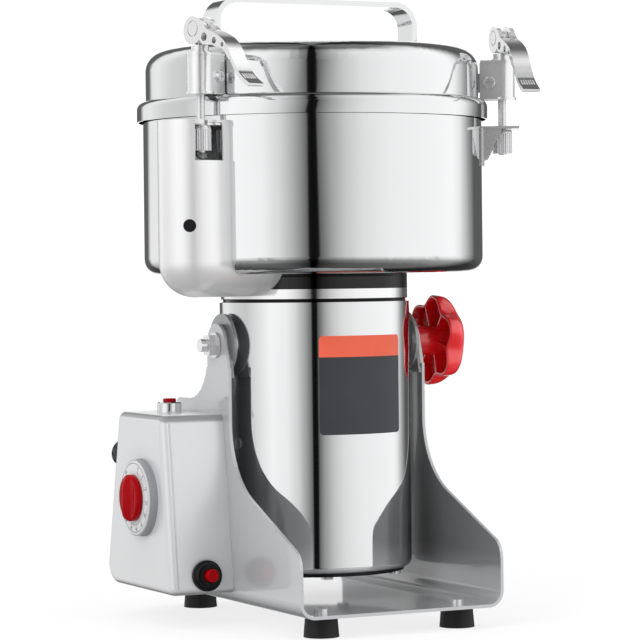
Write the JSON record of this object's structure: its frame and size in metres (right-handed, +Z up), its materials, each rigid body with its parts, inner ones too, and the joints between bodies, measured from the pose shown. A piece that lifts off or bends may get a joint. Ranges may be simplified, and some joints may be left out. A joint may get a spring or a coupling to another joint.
{
  "type": "electric grain mill",
  "caption": "Free-standing grain mill: clamped lid on a round grinding bowl above a motor that tilts between two arms, with timer and switches at the side.",
  "frame": {"origin": "on the floor plane, under the centre of the bounding box at rest", "axes": "+Z up; -Y to the front, where the rating plate faces; +X toward the tilt lock knob; the tilt axis runs along X"},
  "size_m": [0.2499, 0.248, 0.39],
  "materials": {
    "grey_paint": "silver-grey gloss paint",
    "black_rubber": "matt",
    "mirror_steel": "mirror-polished stainless steel",
    "steel": "satin",
    "nylon": "matt",
    "grey_plastic": "satin",
    "black_plastic": "satin",
    "red_plastic": "gloss",
    "laminated_core": "varnished laminations",
    "copper": "enamelled",
    "die_cast": "as cast",
    "brass": "plain",
    "carbon": "matt",
    "label": "printed film, bare",
    "silicone": "satin"
  },
  "bodies": {
    "stand": {"stand_frame": "grey_paint", "rubber_feet": "black_rubber", "stand_screws": "steel", "trunnion_bushes": "nylon", "control_box": "grey_paint", "timer_body": "grey_plastic", "timer_dial": "grey_plastic", "cord_gland": "black_plastic", "breaker_body": "black_plastic", "button_bezel": "mirror_steel"},
    "timer_knob": {"timer_knob": "red_plastic"},
    "reset_button": {"reset_button": "red_plastic"},
    "push_button": {"push_button": "red_plastic"},
    "motor_unit": {"motor_housing": "mirror_steel", "motor_cap": "black_plastic", "cap_screws": "steel", "stator_core": "laminated_core", "field_coils": "copper", "bearing_brackets": "die_cast", "motor_bearings": "steel", "brush_holders": "brass", "carbon_brushes": "carbon", "trunnions": "steel", "rating_plate": "label", "neck_collar": "mirror_steel", "grinding_bowl": "mirror_steel", "bowl_ears": "steel", "shaft_seal": "black_rubber", "switch_cover": "grey_paint", "cover_plug": "black_plastic", "lid_switch": "black_plastic"},
    "tilt_knob": {"tilt_knob": "red_plastic"},
    "spindle": {"motor_shaft": "steel", "armature_core": "laminated_core", "commutator": "copper", "cooling_fan": "black_plastic", "lower_blade": "mirror_steel", "upper_blade": "mirror_steel", "blade_spacers": "steel", "blade_nut": "steel"},
    "seal": {"lid_gasket": "silicone"},
    "lid": {"lid_shell": "mirror_steel", "lid_liner": "steel", "lid_handle": "mirror_steel", "lid_screws": "steel", "clamp_blocks": "mirror_steel"},
    "collar_a": {"collar_a": "mirror_steel"},
    "rod_a": {"rod_a": "steel"},
    "lever_a": {"lever_a": "mirror_steel"},
    "nut_a": {"nut_a": "steel"},
    "collar_b": {"collar_b": "mirror_steel"},
    "rod_b": {"rod_b": "steel"},
    "lever_b": {"lever_b": "mirror_steel"},
    "nut_b": {"nut_b": "steel"},
    "collar_c": {"collar_c": "mirror_steel"},
    "rod_c": {"rod_c": "steel"},
    "lever_c": {"lever_c": "mirror_steel"},
    "nut_c": {"nut_c": "steel"}
  },
  "joints": [
    {"name": "timer_turn", "type": "hinge", "parent": "stand", "child": "timer_knob", "pos_m": [-0.1145, 0.0145, 0.0782], "axis": [1, 0, 0], "range_deg": [0, 300]},
    {"name": "reset_press", "type": "slide", "parent": "stand", "child": "reset_button", "axis": [0, 0.9938, -0.1115], "range_m": [0, 0.0015], "stiffness_N_per_m": 900},
    {"name": "start_press", "type": "slide", "parent": "stand", "child": "push_button", "axis": [0, 0, -1], "range_m": [0, 0.002], "stiffness_N_per_m": 700},
    {"name": "body_tilt", "type": "hinge", "parent": "stand", "child": "motor_unit", "pos_m": [0.0005, -0.007, 0.173], "axis": [1, 0, 0], "range_deg": [0, 90]},
    {"name": "lock_knob_turn", "type": "hinge", "parent": "motor_unit", "child": "tilt_knob", "pos_m": [0.0855, -0.007, 0.173], "axis": [1, 0, 0], "continuous": true},
    {"name": "spindle_spin", "type": "hinge", "parent": "motor_unit", "child": "spindle", "pos_m": [0.0005, -0.007, 0.12], "axis": [0, 0, 1], "continuous": true},
    {"name": "lid_lift", "type": "slide", "parent": "motor_unit", "child": "seal", "axis": [0, 0, 1], "range_m": [0, 0.132]},
    {"name": "lid_twist", "type": "hinge", "parent": "seal", "child": "lid", "pos_m": [0.0005, -0.007, 0.33], "axis": [0, 0, 1], "range_deg": [0, 4.5]},
    {"name": "clamp_a_swivel", "type": "hinge", "parent": "lid", "child": "collar_a", "pos_m": [-0.10377, -0.0672, 0.35], "axis": [0, 0, 1], "range_deg": [-75, 10]},
    {"name": "clamp_a_draw", "type": "slide", "parent": "collar_a", "child": "rod_a", "axis": [0, 0, 1], "range_m": [-0.00083775, 0]},
    {"name": "clamp_a_lever", "type": "hinge", "parent": "rod_a", "child": "lever_a", "pos_m": [-0.10377, -0.0672, 0.3643], "axis": [-0.9673, -0.2538, 0], "range_deg": [0, 120]},
    {"name": "clamp_a_nut", "type": "hinge", "parent": "rod_a", "child": "nut_a", "pos_m": [-0.10377, -0.0672, 0.299], "axis": [0, 0, 1], "continuous": true},
    {"name": "clamp_b_swivel", "type": "hinge", "parent": "lid", "child": "collar_b", "pos_m": [0.10477, -0.0672, 0.35], "axis": [0, 0, 1], "range_deg": [-10, 75]},
    {"name": "clamp_b_draw", "type": "slide", "parent": "collar_b", "child": "rod_b", "axis": [0, 0, 1], "range_m": [-0.00083775, 0]},
    {"name": "clamp_b_lever", "type": "hinge", "parent": "rod_b", "child": "lever_b", "pos_m": [0.10477, -0.0672, 0.3643], "axis": [-0.9854, 0.1702, 0], "range_deg": [0, 120]},
    {"name": "clamp_b_nut", "type": "hinge", "parent": "rod_b", "child": "nut_b", "pos_m": [0.10477, -0.0672, 0.299], "axis": [0, 0, 1], "continuous": true},
    {"name": "clamp_c_swivel", "type": "hinge", "parent": "lid", "child": "collar_c", "pos_m": [0.0005, 0.1134, 0.35], "axis": [0, 0, 1], "range_deg": [-75, 10]},
    {"name": "clamp_c_draw", "type": "slide", "parent": "collar_c", "child": "rod_c", "axis": [0, 0, 1], "range_m": [-0.00083775, 0]},
    {"name": "clamp_c_lever", "type": "hinge", "parent": "rod_c", "child": "lever_c", "pos_m": [0.0005, 0.1134, 0.3643], "axis": [0, 1, 0], "range_deg": [0, 120]},
    {"name": "clamp_c_nut", "type": "hinge", "parent": "rod_c", "child": "nut_c", "pos_m": [0.0005, 0.1134, 0.299], "axis": [0, 0, 1], "continuous": true}
  ],
  "couplings": [
    {"joint": "clamp_a_lever", "follows": "clamp_a_draw", "rad_per_m": -2500},
    {"joint": "clamp_b_lever", "follows": "clamp_b_draw", "rad_per_m": -2500},
    {"joint": "clamp_c_lever", "follows": "clamp_c_draw", "rad_per_m": -2500}
  ]
}
